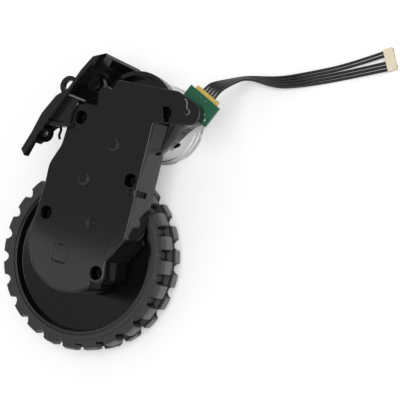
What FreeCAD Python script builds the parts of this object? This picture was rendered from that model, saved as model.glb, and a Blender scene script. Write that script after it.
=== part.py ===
import FreeCAD, Part
import math
import os

# Driven wheel module of a floor cleaning robot, lying on its side on a table.
# Millimetres. The origin is on the wheel's axis, at the table. Z points up, from the
# wheel's outboard face to the cover of the gear case. Y runs along the straight side
# of the gear case, from the wheel to the motor.

SIZES = [
    # wheel and tyre
    ("tyre_radius", 34.0, "tips of the tyre's blocks"),
    ("tread_depth", 2.5, "height of a block above the carcass"),
    ("tyre_width", 14.5, "across both rows of blocks"),
    ("row_width", 6.2, "one row of blocks"),
    ("row_blocks", 24, "blocks in a row"),
    ("block_share", 0.52, "part of the pitch that a block fills"),
    ("shoulder_drop", 2.6, "sloped shoulder of a block, along the axis"),
    ("shoulder_rise", 0.9, "sloped shoulder of a block, along the radius"),
    ("row_one_angle", 6.3, "degrees, first block of the upper row"),
    ("row_two_angle", 13.8, "degrees, first block of the lower row"),
    ("rib_width", 1.3, "thin rib between the rows"),
    ("rib_height", 1.5, "thin rib above the carcass"),
    ("lip_drop", 3.8, "tips of the blocks to the edge of the lip"),
    ("lip_height", 0.5, "lip above the side wall"),
    ("tyre_wall", 5.6, "tips of the blocks to the seat on the rim"),
    ("rim_wall", 1.4, "rim under the tyre"),
    ("rim_height", 14.2, "inboard edge of the rim"),
    ("dish_drop", 2.0, "seat of the tyre to the foot of the dish's steep edge"),
    ("dish_edge", 11.6, "height at the foot of the steep edge"),
    ("dish_slope", 12.4, "width of the dish's slope"),
    ("dish_floor", 9.8, "height of the floor of the dish"),
    ("disc_wall", 1.8, "thickness of the disc"),
    ("hub_radius", 6.5, "hub of the wheel"),
    ("hub_height", 11.8, "inboard end of the hub"),
    ("spokes", 9, "ribs on the outboard side of the disc"),
    ("spoke_wall", 1.4, "thickness of a rib"),
    ("spoke_foot", 2.0, "ribs stop this far above the table"),
    ("wheel_screw_radius", 1.15, "screw that holds the wheel on its shaft"),
    ("wheel_screw_head", 3.0, "head of this screw"),
    ("cap_radius", 8.0, "cap over the wheel screw"),
    ("cap_wall", 2.0, "thickness of the cap, level with the rim"),
    # gear case
    ("face_height", 28.7, "outer face of the cover"),
    ("seam_height", 20.2, "joint between cover and housing"),
    ("back_height", 15.6, "back of the housing over the tyre"),
    ("nose_height", 12.5, "back of the housing inside the dish"),
    ("nose_gap", 3.4, "seat of the tyre to the nose of the housing"),
    ("case_wall", 1.7, "side walls"),
    ("lid_wall", 1.3, "face of the cover"),
    ("floor_wall", 1.5, "floor of the housing"),
    ("end_radius", 17.6, "rounded lower end of the case"),
    ("end_x", 3.4, "centre of the rounded lower end"),
    ("end_y", 5.0, "centre of the rounded lower end"),
    ("side_x", 23.5, "straight right side"),
    ("top_y", 63.3, "flat upper edge"),
    ("lobe_x", 39.8, "end of the lobe"),
    ("lobe_round", 3.9, "rounding of the lobe's end"),
    ("lobe_lid", 3.0, "thickness of the cover at the lobe"),
    ("boss_radius", 3.1, "screw posts"),
    ("screw_bore", 1.25, "screw holes in the posts"),
    ("counterbore_radius", 2.4, "holes in the face over the screws"),
    ("counterbore_depth", 5.0, "depth of these holes"),
    ("raised_mark", 2.2, "two raised discs on the face"),
    ("sunk_mark", 1.5, "round recess on the face"),
    # gears
    ("coarse_module", 0.8, "three slow pairs"),
    ("fine_module", 0.6, "fast pair"),
    ("small_teeth", 12, "small wheel of each compound gear"),
    ("large_teeth", 28, "large wheel of the slow pairs"),
    ("output_teeth", 22, "output gear on the wheel's shaft"),
    ("driving_teeth", 18, "small wheel that drives the output gear"),
    ("pinion_teeth", 10, "motor pinion"),
    ("first_teeth", 34, "large wheel of the first gear"),
    ("mesh_clearance", 0.10, "backlash on each flank"),
    ("angle_third", 54.1, "degrees, wheel axis to third gear"),
    ("angle_second", 117.4, "degrees, third gear to second gear"),
    ("angle_first", 59.3, "degrees, second gear to first gear"),
    ("angle_motor", 69.7, "degrees, first gear to motor"),
    ("output_width", 4.0, "face of the output gear"),
    ("output_lift", 2.2, "output gear above the floor of the nose"),
    ("driving_lift", 0.3, "third gear above the floor of the housing"),
    ("gear_width", 1.6, "face of the other large gears"),
    ("layer_gap", 0.2, "between gears on two levels"),
    ("gear_pin_radius", 1.0, "fixed pins of the gears"),
    ("gear_post_radius", 2.4, "posts of the housing round the pins"),
    ("collar_radius", 5.0, "collar under the output gear"),
    ("running_clearance", 0.05, "radial, shafts and pins"),
    # shaft and bushes
    ("shaft_radius", 3.0, "output shaft"),
    ("bush_radius", 4.6, "bushes of the output shaft"),
    # motor
    ("motor_radius", 14.0, "can of the motor"),
    ("motor_height", 22.4, "table to the front of the motor"),
    ("bell_height", 5.8, "rear end bell"),
    ("bell_step", 0.25, "end bell proud of the can"),
    ("flange_height", 0.9, "flange of the end bell"),
    ("can_round", 2.4, "rounded front edge of the can"),
    ("motor_shaft_radius", 1.0, "motor shaft"),
    ("motor_boss_radius", 3.0, "raised ring of the can round its shaft"),
    ("motor_screw_circle", 8.0, "motor's axis to its screws"),
    ("motor_screw_radius", 1.1, "screws that hold the motor"),
    ("motor_clearance", 0.25, "motor in its seat"),
    ("motor_wall", 1.2, "plate in front of the motor"),
    ("seat_radius", 14.6, "round seat of the motor, beyond the flat edge"),
    ("skirt_wall", 1.2, "skirt of the housing beside the motor, at its foot"),
    ("skirt_foot", 17.0, "lower end of the skirt"),
    ("skirt_top", 23.0, "upper end of the skirt"),
    ("cheek_foot", 23.8, "underside of the cover's cheek above the skirt"),
    # board and plugs
    ("board_length", 13.6, "circuit board"),
    ("board_width", 7.9, "circuit board"),
    ("board_thickness", 1.1, "circuit board"),
    ("board_drop", 3.2, "face of the cover to the upper side of the board"),
    ("cable_drop", 2.9, "upper side of the board to the middle of the wires"),
    ("board_angle", -26.6, "degrees, long edge of the board"),
    ("board_x", 36.6, "centre of the board"),
    ("board_y", 60.05, "centre of the board"),
    ("socket_length", 9.4, "board connector"),
    ("socket_depth", 4.6, "board connector"),
    ("socket_height", 2.9, "board connector"),
    ("socket_reach", 2.0, "connector beyond the board's edge"),
    ("plug_length", 8.5, "cable plug"),
    ("plug_depth", 3.8, "cable plug"),
    ("plug_height", 2.6, "cable plug"),
    ("plug_angle", 26.5, "degrees, way the wires enter"),
    ("plug_x", 89.4, "middle of the side where the wires enter"),
    ("plug_y", 89.75, "middle of the side where the wires enter"),
    ("plug_pitch", 1.25, "places of the plug"),
    ("wire_diameter", 1.0, "insulated wires"),
    # suspension
    ("pivot_x", -3.6, "pivot of the suspension"),
    ("pivot_y", 59.4, "pivot of the suspension"),
    ("pivot_pin_radius", 1.5, "pivot pin"),
    ("pivot_tube_radius", 3.2, "tube of the housing round the pin"),
    ("pivot_tube_foot", 9.6, "lower end of the tube"),
    ("spring_seat_radius", 2.1, "thinner part of the tube, inside the spring"),
    ("spring_seat_top", 15.8, "upper end of the thinner part"),
    ("front_plate", 25.0, "upper face of the bracket's front ear"),
    ("plate_wall", 2.2, "plates of the bracket"),
    ("rear_plate", 6.8, "underside of the bracket's rear plate"),
    ("rib_top", 33.0, "top of the bracket's long rib"),
    ("rib_foot", 30.0, "underside of the long rib"),
    ("panel_gap", 0.5, "panel of the bracket above the cover"),
    ("pivot_plate_radius", 4.8, "rear plate round the pin"),
    ("ear_x", -13.0, "screw ear"),
    ("ear_y", 57.9, "screw ear"),
    ("ear_radius", 3.6, "screw ear"),
    ("ear_bore", 2.0, "hole of the screw ear"),
    ("ear_top", 28.2, "upper face of the screw ear"),
    ("ear_wall", 1.6, "thickness of the screw ear"),
    ("knob_x", -17.0, "round boss under the rib"),
    ("knob_y", 39.3, "round boss under the rib"),
    ("knob_radius", 3.8, "round boss under the rib"),
    ("knob_bore", 1.9, "hole of the round boss"),
    ("spring_wire", 0.8, "wire of the suspension spring"),
    ("spring_turns", 4, "turns of the spring"),
    ("spring_leg", 4.0, "leg of the spring, against the bracket's outer wall"),
    ("spring_leg_angle", 158, "degrees, way round the pin to the leg"),
]

doc = FreeCAD.newDocument("drive_wheel_module")
sheet = doc.addObject("Spreadsheet::Sheet", "Sizes")
size = {}
for row, (name, number, meaning) in enumerate(SIZES, start=1):
    sheet.set("A%d" % row, name)
    sheet.set("B%d" % row, str(number))
    sheet.set("C%d" % row, meaning)
    sheet.setAlias("B%d" % row, name)
    size[name] = number
doc.recompute()

parts = []
V = FreeCAD.Vector


def polar(radius, degrees):
    """A point at a distance and an angle from the origin."""
    return (radius * math.cos(math.radians(degrees)), radius * math.sin(math.radians(degrees)))


def shifted(point, step):
    """The sum of two flat points."""
    return (point[0] + step[0], point[1] + step[1])


# Axes of the gear train, each one set from the one before it.
slow_distance = size["coarse_module"] * (size["small_teeth"] + size["large_teeth"]) / 2
fast_distance = size["fine_module"] * (size["pinion_teeth"] + size["first_teeth"]) / 2
AXIS_THIRD = polar(slow_distance, size["angle_third"])
AXIS_SECOND = shifted(AXIS_THIRD, polar(slow_distance, size["angle_second"]))
AXIS_FIRST = shifted(AXIS_SECOND, polar(slow_distance, size["angle_first"]))
AXIS_MOTOR = shifted(AXIS_FIRST, polar(fast_distance, size["angle_motor"]))
AXIS_PIVOT = (size["pivot_x"], size["pivot_y"])
SCREW_PLACES = [(-9.5, 12.6), (20.0, 30.3), (15.6, -3.2), (-4.8, 47.8)]


def new_body(name):
    """A sub-part made of features."""
    body = doc.addObject("PartDesign::Body", name)
    body.Label = name
    parts.append(body)
    return body


def place(item, x, y, z="0"):
    """Ties a sub-part's place to the sheet."""
    item.setExpression("Placement.Base.x", x)
    item.setExpression("Placement.Base.y", y)
    item.setExpression("Placement.Base.z", z)


def sketch(body, height, *loops, role="XY_Plane"):
    """A sketch on one of the body's own planes, at a height tied to the sheet."""
    item = body.newObject("Sketcher::SketchObject", body.Name + "_sketch")
    plane = [one for one in body.Origin.OriginFeatures if one.Role == role][0]
    item.AttachmentSupport = [(plane, "")]
    item.MapMode = "FlatFace"
    item.setExpression("AttachmentOffset.Base.z", height)
    for loop in loops:
        for edge in loop:
            item.addGeometry(edge, False)
    return item


def pad(body, height, length, *loops):
    """Material added upward from a height."""
    profile = sketch(body, height, *loops)
    item = body.newObject("PartDesign::Pad", body.Name + "_pad")
    item.Profile = profile
    item.setExpression("Length", length)
    profile.Visibility = False
    return item


def pocket(body, height, depth, *loops):
    """Material cut upward from a height."""
    profile = sketch(body, height, *loops)
    item = body.newObject("PartDesign::Pocket", body.Name + "_pocket")
    item.Profile = profile
    item.Reversed = True
    item.setExpression("Length", depth)
    return item


def revolve(body, corners):
    """A turned shape from (radius, height) corners, about the vertical axis."""
    profile = sketch(body, "0", lines([V(x, z, 0) for x, z in corners]), role="XZ_Plane")
    item = body.newObject("PartDesign::Revolution", body.Name + "_turn")
    item.Profile = profile
    item.ReferenceAxis = (profile, ["V_Axis"])
    item.Angle = 360
    return item


def trim(body, corners):
    """A groove turned from (radius, height) corners, about the vertical axis."""
    profile = sketch(body, "0", lines([V(x, z, 0) for x, z in corners]), role="XZ_Plane")
    item = body.newObject("PartDesign::Groove", body.Name + "_groove")
    item.Profile = profile
    item.ReferenceAxis = (profile, ["V_Axis"])
    item.Angle = 360
    return item


def loft(body, lower, upper):
    """A solid between two outlines, each given with its height."""
    profiles = [sketch(body, height, lines(points)) for height, points in (lower, upper)]
    item = body.newObject("PartDesign::AdditiveLoft", body.Name + "_loft")
    item.Profile = profiles[0]
    item.Sections = [profiles[1]]
    item.Ruled = True
    return item


def repeat(body, feature, count):
    """Copies of a feature round the vertical axis."""
    item = body.newObject("PartDesign::PolarPattern", body.Name + "_pattern")
    item.Originals = [feature]
    axis = [one for one in body.Origin.OriginFeatures if one.Role == "Z_Axis"][0]
    item.Axis = (axis, [""])
    item.Angle = 360
    item.setExpression("Occurrences", count)
    body.Tip = item
    return item


def lines(points):
    """A closed run of straight edges."""
    edges = []
    for first, second in zip(points, points[1:] + points[:1]):
        edges.append(Part.LineSegment(first, second))
    return edges


def circle(centre, radius):
    """A whole circle."""
    return [Part.Circle(V(centre[0], centre[1], 0), V(0, 0, 1), radius)]


def rounded(corners):
    """A closed outline of (x, y, radius) corners, each rounded by its own radius."""
    starts = []
    ends = []
    middles = []
    count = len(corners)
    for index in range(count):
        before = V(*corners[index - 1][:2], 0)
        here = V(*corners[index][:2], 0)
        after = V(*corners[(index + 1) % count][:2], 0)
        radius = corners[index][2]
        back = (before - here).normalize()
        ahead = (after - here).normalize()
        half = back.getAngle(ahead) / 2
        if radius == 0 or abs(half - math.pi / 2) < 1e-4:
            starts.append(here)
            ends.append(here)
            middles.append(None)
            continue
        reach = radius / math.tan(half)
        centre = here + (back + ahead).normalize() * (radius / math.sin(half))
        starts.append(here + back * reach)
        ends.append(here + ahead * reach)
        middles.append(centre + (here - centre).normalize() * radius)
    edges = []
    for index in range(count):
        if middles[index] is not None:
            edges.append(Part.ArcOfCircle(starts[index], middles[index], ends[index]))
        following = starts[(index + 1) % count]
        if (following - ends[index]).Length > 1e-6:
            edges.append(Part.LineSegment(ends[index], following))
    return edges


def strip(path, width):
    """The outline of a bar of even width along an open path of points."""
    left = []
    right = []
    for index, point in enumerate(path):
        before = V(*path[max(index - 1, 0)], 0)
        after = V(*path[min(index + 1, len(path) - 1)], 0)
        along = (after - before).normalize()
        side = V(-along.y, along.x, 0) * (width / 2)
        left.append(V(*point, 0) + side)
        right.append(V(*point, 0) - side)
    return lines(left + right[::-1])


def case_outline(inset, lobed):
    """The gear case seen from its face: flat top, lobe, straight side, round end."""
    end = size["end_radius"] - inset
    side = size["side_x"] - inset
    top = size["top_y"] - inset
    lobe = size["lobe_x"] - inset
    rounding = size["lobe_round"] - inset
    x = size["end_x"]
    y = size["end_y"]
    left = x - end
    arc_start = shifted((x, y), polar(end, -52))
    arc_middle = shifted((x, y), polar(end, -116))
    boss_foot = -6.6 + inset
    upper_right = [(side, top, 0.8)]
    if lobed:
        upper_right = [(29.8 - inset / 3, top, 3.0), (lobe, 59.4 - inset * 0.8, rounding),
                       (lobe, 53.0 + inset, rounding), (side, 51.2 + inset, 0.8)]
    right = rounded([
        (left, y, 0), (-12.9 + inset, 22.0, 6.0), (-13.2 + inset, 29.6, 9.0),
        (-10.0 + inset, 37.0, 7.0), (-9.4 + inset, 46.5, 3.0), (-7.3 + inset, 53.4 - inset, 0.8),
        (-1.2 + inset, 53.9 - inset, 0.6), (-0.6 + inset, 59.5 - inset, 0.5), (4.6 + inset, 59.5 - inset, 0.4),
        (5.6 + inset, top, 0.5)] + upper_right + [(side, 10.0, 5.0), (18.2 - inset, 1.2, 0.8),
        (19.2 - inset, boss_foot, 2.4), (14.2 - inset, boss_foot, 0.5), (arc_start[0], arc_start[1], 0)])
    closing = right.pop()
    arc = Part.ArcOfCircle(closing.StartPoint, V(arc_middle[0], arc_middle[1], 0), closing.EndPoint)
    return right + [arc]


# Gears
def gear_outline(module, teeth, phase):
    """Involute teeth, three points to a flank, turned by a phase in degrees."""
    pitch = module * teeth / 2
    base = pitch * math.cos(math.radians(20))
    tip = pitch + 0.95 * module
    root = pitch - 1.2 * module
    involute = math.tan(math.radians(20)) - math.radians(20)
    half = math.pi / (2 * teeth) - size["mesh_clearance"] / pitch + involute

    def flank(radius):
        pressure = math.acos(min(base / radius, 1.0))
        return half - (math.tan(pressure) - pressure)

    points = []
    for tooth in range(teeth):
        middle = math.radians(phase) + 2 * math.pi * tooth / teeth
        for radius, side in ((root, -1), (pitch, -1), (tip, -1), (tip, 1), (pitch, 1), (root, 1)):
            turn = middle + side * flank(radius)
            points.append(V(radius * math.cos(turn), radius * math.sin(turn), 0))
    return lines(points)


def meshed_phase(driver_teeth, driver_phase, direction, teeth):
    """The phase that sets a gear's gap opposite the driver's tooth."""
    share = ((direction - driver_phase) * driver_teeth / 360) % 1
    return (direction + 180 - (0.5 - share) * 360 / teeth) % 360


PHASE_OUTPUT = 0.0
PHASE_THIRD_SMALL = meshed_phase(size["output_teeth"], PHASE_OUTPUT, size["angle_third"],
                                 size["driving_teeth"])
PHASE_SECOND_SMALL = meshed_phase(size["large_teeth"], 0.0, size["angle_second"], size["small_teeth"])
PHASE_FIRST_SMALL = meshed_phase(size["large_teeth"], 0.0, size["angle_first"], size["small_teeth"])
PHASE_PINION = meshed_phase(size["first_teeth"], 0.0, size["angle_motor"], size["pinion_teeth"])

# Levels of the gears: the output gear on the floor, the others from the lid down.
OUTPUT_FOOT = "(Sizes.nose_height + Sizes.floor_wall + Sizes.output_lift)"
DRIVING_FOOT = "(Sizes.back_height + Sizes.floor_wall + Sizes.driving_lift)"
FIRST_FOOT = "(Sizes.face_height - Sizes.lid_wall - Sizes.layer_gap - Sizes.gear_width)"
SECOND_FOOT = "(" + FIRST_FOOT + " - Sizes.gear_width - Sizes.layer_gap)"
THIRD_FOOT = "(" + SECOND_FOOT + " - Sizes.gear_width - Sizes.layer_gap)"
BOARD_FOOT = "(Sizes.face_height - Sizes.board_drop - Sizes.board_thickness)"


def chain(count, function):
    """The sheet's own formula for an axis of the gear train."""
    slow = "Sizes.coarse_module * (Sizes.small_teeth + Sizes.large_teeth) / 2"
    fast = "Sizes.fine_module * (Sizes.pinion_teeth + Sizes.first_teeth) / 2"
    names = ["angle_third", "angle_second", "angle_first", "angle_motor"][:count]
    terms = []
    for name in names:
        distance = fast if name == "angle_motor" else slow
        terms.append("%s * %s(Sizes.%s * 1 deg)" % (distance, function, name))
    return " + ".join(terms)


def compound_gear(name, count, small, foot, large, lower):
    """A large wheel and a small one in one piece, turning on a fixed pin."""
    body = new_body(name)
    module, teeth = large
    pad(body, foot, "Sizes.gear_width", gear_outline(module, teeth, 0.0))
    if lower:
        pad(body, DRIVING_FOOT, foot + " - " + DRIVING_FOOT,
            gear_outline(size["coarse_module"], size["driving_teeth"], small))
    else:
        below = foot + " - Sizes.gear_width - Sizes.layer_gap"
        pad(body, below, "Sizes.gear_width + Sizes.layer_gap",
            gear_outline(size["coarse_module"], size["small_teeth"], small))
    bore = size["gear_pin_radius"] + size["running_clearance"]
    pocket(body, "1", "40", circle((0, 0), bore))
    place(body, chain(count, "cos"), chain(count, "sin"))
    return body


output_gear = new_body("output_gear")
pad(output_gear, OUTPUT_FOOT, "Sizes.output_width",
    gear_outline(size["coarse_module"], size["output_teeth"], PHASE_OUTPUT))
pad(output_gear, OUTPUT_FOOT + " - Sizes.output_lift + 0.4", "Sizes.output_lift - 0.4",
    circle((0, 0), size["collar_radius"]))
pocket(output_gear, "1", "40", circle((0, 0), size["shaft_radius"]))
coarse = (size["coarse_module"], size["large_teeth"])
fine = (size["fine_module"], size["first_teeth"])
compound_gear("third_gear", 1, PHASE_THIRD_SMALL, THIRD_FOOT, coarse, True)
compound_gear("second_gear", 2, PHASE_SECOND_SMALL, SECOND_FOOT, coarse, False)
compound_gear("first_gear", 3, PHASE_FIRST_SMALL, FIRST_FOOT, fine, False)

motor_pinion = new_body("motor_pinion")
pad(motor_pinion, FIRST_FOOT + " - 0.1", "Sizes.gear_width + 0.3",
    gear_outline(size["fine_module"], size["pinion_teeth"], PHASE_PINION))
pocket(motor_pinion, FIRST_FOOT + " - 0.1", "Sizes.gear_width + 0.3",
       circle((0, 0), size["motor_shaft_radius"]))
place(motor_pinion, chain(4, "cos"), chain(4, "sin"))

motor_shaft = new_body("motor_shaft")
pad(motor_shaft, "1", FIRST_FOOT + " + Sizes.gear_width - 0.8", circle((0, 0), size["motor_shaft_radius"]))
place(motor_shaft, chain(4, "cos"), chain(4, "sin"))

# Wheel
tyre = new_body("tyre")
tip = size["tyre_radius"]
carcass = tip - size["tread_depth"]
rim_radius = tip - size["tyre_wall"]
lip = tip - size["lip_drop"]
wall = size["lip_height"]
width = size["tyre_width"]
middle = width / 2
ridge = carcass + size["rib_height"]
half_rib = size["rib_width"] / 2
slope = size["shoulder_drop"] / 2
revolve(tyre, [
    (rim_radius, 0), (lip, 0), (lip + 0.2, wall), (carcass - 0.6, wall), (carcass, slope),
    (carcass, middle - half_rib), (ridge, middle - half_rib + 0.2), (ridge, middle + half_rib - 0.2),
    (carcass, middle + half_rib), (carcass, width - slope), (carcass - 0.6, width - wall),
    (lip + 0.2, width - wall), (lip, width), (rim_radius, width)])


def block_outline(degrees):
    """One block of the tread, with hollow flanks that run out into the round gaps."""
    half = 180 / size["row_blocks"] * size["block_share"]
    points = [(carcass - 0.6, -1.75 * half), (carcass + 0.1, -1.4 * half), (tip - 1.7, -1.12 * half),
              (tip, -half), (tip, half),
              (tip - 1.7, 1.12 * half), (carcass + 0.1, 1.4 * half), (carcass - 0.6, 1.75 * half)]
    return lines([V(*polar(radius, degrees + turn), 0) for radius, turn in points])


upper_block = pad(tyre, "Sizes.tyre_width - Sizes.row_width", "Sizes.row_width - Sizes.lip_height",
                  block_outline(size["row_one_angle"]))
repeat(tyre, upper_block, "Sizes.row_blocks")
lower_block = pad(tyre, "Sizes.lip_height", "Sizes.row_width - Sizes.lip_height",
                  block_outline(size["row_two_angle"]))
repeat(tyre, lower_block, "Sizes.row_blocks")
drop = size["shoulder_drop"]
rise = size["shoulder_rise"]
for near, far in ((width, width - drop), (0, drop)):
    trim(tyre, [(carcass - 1.0, near), (tip + 1, near), (tip + 1, far), (tip, far),
                (tip - rise, (near * 3 + far) / 4)])

wheel = new_body("wheel")
floor = size["dish_floor"]
under = floor - size["disc_wall"]
inner = rim_radius - size["rim_wall"]
dish = rim_radius - size["dish_drop"]
revolve(wheel, [
    (0, under), (inner - 1.0, under), (inner, under - 1.0), (inner, 0), (rim_radius, 0),
    (rim_radius, size["rim_height"]), (inner + 0.2, size["rim_height"]),
    (dish, size["dish_edge"]), (dish - size["dish_slope"], floor), (size["hub_radius"] + 0.6, floor),
    (size["hub_radius"], floor + 0.6), (size["hub_radius"], size["hub_height"]), (0, size["hub_height"])])
pad(wheel, "Sizes.spoke_foot", "Sizes.dish_floor - Sizes.disc_wall - Sizes.spoke_foot",
    circle((0, 0), size["hub_radius"]))
half_spoke = size["spoke_wall"] / 2
spoke = pad(wheel, "Sizes.spoke_foot", "Sizes.dish_floor - Sizes.disc_wall - Sizes.spoke_foot", lines([
    V(size["hub_radius"] - 1, -half_spoke, 0), V(inner + 0.5, -half_spoke, 0),
    V(inner + 0.5, half_spoke, 0), V(size["hub_radius"] - 1, half_spoke, 0)]))
repeat(wheel, spoke, "Sizes.spokes")
pocket(wheel, "5", "Sizes.hub_height", circle((0, 0), size["shaft_radius"]))
pocket(wheel, "0", "6", circle((0, 0), size["wheel_screw_radius"] + 0.45))
pocket(wheel, "0", "3.4", circle((0, 0), size["wheel_screw_head"] + 0.2))

hub_cap = new_body("hub_cap")
pad(hub_cap, "Sizes.spoke_foot - Sizes.cap_wall", "Sizes.cap_wall", circle((0, 0), size["cap_radius"]))

output_shaft = new_body("output_shaft")
pad(output_shaft, "5", "Sizes.face_height - Sizes.lid_wall - 5.2", circle((0, 0), size["shaft_radius"]))
pocket(output_shaft, "5", "8", circle((0, 0), size["wheel_screw_radius"] + 0.05))


def bush(name, foot, length):
    """A plain bush for the output shaft."""
    body = new_body(name)
    bore = size["shaft_radius"] + size["running_clearance"]
    pad(body, foot, length, circle((0, 0), size["bush_radius"]), circle((0, 0), bore))


bush("rear_bush", "Sizes.nose_height - 0.3", "Sizes.floor_wall + 0.5")
bush("front_bush", "Sizes.face_height - Sizes.lid_wall - 3", "3")

# Gear case
def overlap(first, second):
    """The outline of the area that two outlines share."""
    faces = [Part.Face(Part.Wire([edge.toShape() for edge in loop])) for loop in (first, second)]
    shared = faces[0].common(faces[1]).Faces[0]
    edges = []
    for edge in shared.OuterWire.Edges:
        if isinstance(edge.Curve, Part.Circle):
            edges.append(Part.ArcOfCircle(edge.Curve, edge.FirstParameter, edge.LastParameter))
        else:
            edges.append(Part.LineSegment(edge.Vertexes[0].Point, edge.Vertexes[1].Point))
    return edges


def sector(centre, inner, outer, start, end):
    """A piece of a ring, seen from above."""
    at = [V(*shifted(centre, polar(radius, turn)), 0) for radius, turn in (
        (inner, start), (inner, (start + end) / 2), (inner, end),
        (outer, end), (outer, (start + end) / 2), (outer, start))]
    return [Part.ArcOfCircle(at[0], at[1], at[2]), Part.LineSegment(at[2], at[3]),
            Part.ArcOfCircle(at[3], at[4], at[5]), Part.LineSegment(at[5], at[0])]


case_wall = size["case_wall"]
side_x = size["side_x"]
cover = new_body("gear_case_cover")
face = pad(cover, "Sizes.face_height - Sizes.lobe_lid", "Sizes.lobe_lid", case_outline(0, True))
doc.recompute()
rim = ["Edge%d" % (number + 1) for number, edge in enumerate(face.Shape.Edges)
       if edge.BoundBox.ZMin > size["face_height"] - 0.01]
soft_rim = cover.newObject("PartDesign::Fillet", "cover_rim")
soft_rim.Base = (face, rim)
soft_rim.Radius = 0.5
pad(cover, "Sizes.seam_height", "Sizes.face_height - Sizes.seam_height - Sizes.lobe_lid + 0.5",
    case_outline(0, False))
pocket(cover, "Sizes.seam_height", "Sizes.face_height - Sizes.seam_height - Sizes.lid_wall",
       case_outline(case_wall, False))
for place_of_screw in SCREW_PLACES:
    post = circle(place_of_screw, size["boss_radius"])
    pad(cover, "Sizes.seam_height", "Sizes.face_height - Sizes.seam_height - 1",
        overlap(post, case_outline(0.2, False)))
pad(cover, "Sizes.face_height - Sizes.lid_wall - 3", "3.2", circle((0, 0), size["bush_radius"] + 1.4))
pocket(cover, "Sizes.seam_height", "Sizes.face_height - Sizes.lid_wall - Sizes.seam_height",
       circle((0, 0), size["bush_radius"]))
pocket(cover, "Sizes.seam_height", "Sizes.face_height - Sizes.lid_wall - Sizes.seam_height - 0.1",
       circle(AXIS_MOTOR, size["seat_radius"] + 0.1))
pocket(cover, "Sizes.seam_height", "20", circle(AXIS_PIVOT, size["pivot_tube_radius"] + 0.5))
cheek = [V(side_x - 0.5, 40.0, 0), V(side_x + 2.6, 42.4, 0), V(side_x + 3.2, 51.4, 0), V(side_x - 0.5, 51.4, 0)]
cheek_top = [V(side_x - 0.5, 40.0, 0), V(side_x, 42.4, 0), V(side_x, 51.4, 0), V(side_x - 0.5, 51.4, 0)]
loft(cover, ("Sizes.cheek_foot", cheek), ("Sizes.face_height - 0.8", cheek_top))
MOTOR_SCREWS = [shifted(AXIS_MOTOR, polar(size["motor_screw_circle"], size["angle_motor"] + side))
                for side in (90, -90)]
pocket(cover, "Sizes.cheek_foot - 1", "2.4", circle(MOTOR_SCREWS[1], 2.3))
for place_of_screw in SCREW_PLACES:
    pocket(cover, "Sizes.seam_height", "20", circle(place_of_screw, size["screw_bore"] + 0.2))
    pocket(cover, "Sizes.face_height - Sizes.counterbore_depth", "20",
           circle(place_of_screw, size["counterbore_radius"]))
pocket(cover, "Sizes.face_height - 1.5", "5", rounded([
    (25.9, 57.2, 0.4), (28.9, 57.6, 0.4), (30.1, 52.5, 0.4), (27.1, 52.1, 0.4)]))
pocket(cover, "Sizes.face_height - 0.6", "5", rounded([
    (-2.6, -2.8, 1.2), (2.6, -2.8, 1.2), (2.6, 2.8, 1.2), (-2.6, 2.8, 1.2)]))
for mark in (AXIS_FIRST, AXIS_SECOND):
    pad(cover, "Sizes.face_height - 0.2", "0.5", circle(mark, size["raised_mark"]))
pocket(cover, "Sizes.face_height - 0.6", "5", circle(AXIS_THIRD, size["sunk_mark"]))
pad(cover, "Sizes.face_height - 0.8", "0.7", circle(AXIS_THIRD, size["sunk_mark"] - 0.7))
pad(cover, "Sizes.face_height - 0.2", "0.5", circle((34.8, 56.9), 0.9))
snap = [V(side_x - 1.0, 25.3, 0), V(side_x + 1, 25.3, 0), V(side_x + 1, 27.4, 0), V(side_x - 1.0, 27.4, 0)]
pocket(cover, "Sizes.seam_height + 0.6", "10", lines(snap))
pocket(cover, "Sizes.face_height - 0.7", "10", rounded([
    (side_x - 3.4, 25.3, 0.9), (side_x - 0.5, 25.3, 0), (side_x - 0.5, 27.4, 0), (side_x - 3.4, 27.4, 0.9)]))

housing = new_body("gear_case_housing")
floor_top = "(Sizes.back_height + Sizes.floor_wall)"
nose_radius = rim_radius - size["nose_gap"]
nose = circle((0, 0), nose_radius)
nose_inside = circle((0, 0), nose_radius - case_wall)
pad(housing, "Sizes.back_height", "Sizes.seam_height - Sizes.back_height", case_outline(0, False))
pad(housing, "Sizes.nose_height", "Sizes.back_height - Sizes.nose_height + 0.5",
    overlap(case_outline(0, False), nose))
pocket(housing, floor_top, "10", case_outline(case_wall, False))
pocket(housing, "Sizes.nose_height + Sizes.floor_wall", "10",
       overlap(case_outline(case_wall, False), nose_inside))
for place_of_screw in SCREW_PLACES:
    post = circle(place_of_screw, size["boss_radius"])
    low = "Sizes.nose_height" if math.hypot(*place_of_screw) < nose_radius - 4 else "Sizes.back_height"
    pad(housing, low + " + 0.5", "Sizes.seam_height - " + low + " - 0.5",
        overlap(post, case_outline(0.2, False)))
skirt_inner = size["motor_radius"] + size["motor_clearance"]
pocket(housing, "1", "Sizes.motor_height - 1", circle(AXIS_MOTOR, skirt_inner))
pad(housing, "Sizes.motor_height", "Sizes.motor_wall", circle(AXIS_MOTOR, size["seat_radius"]))
wall_height = "Sizes.face_height - Sizes.lid_wall - Sizes.motor_height - 0.2"
pad(housing, "Sizes.motor_height", wall_height,
    sector(AXIS_MOTOR, size["seat_radius"] - 1.5, size["seat_radius"], 14, 128))
skirt_outer = skirt_inner + size["skirt_wall"]
skirt = [V(side_x + 0.1, 41.2, 0)]
for turn in (-51, -40, -28, -16, -5):
    skirt.append(V(*shifted(AXIS_MOTOR, polar(skirt_outer, turn)), 0))
skirt_end = [V(side_x + 9.0, 53.0, 0), V(side_x + 0.1, 53.0, 0)]
root = [V(side_x - 0.5, 53.0, 0), V(side_x - 0.5, 40.6, 0)]
pad(housing, "Sizes.skirt_foot", "1.0", lines(skirt + skirt_end[:1] + root))
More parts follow.
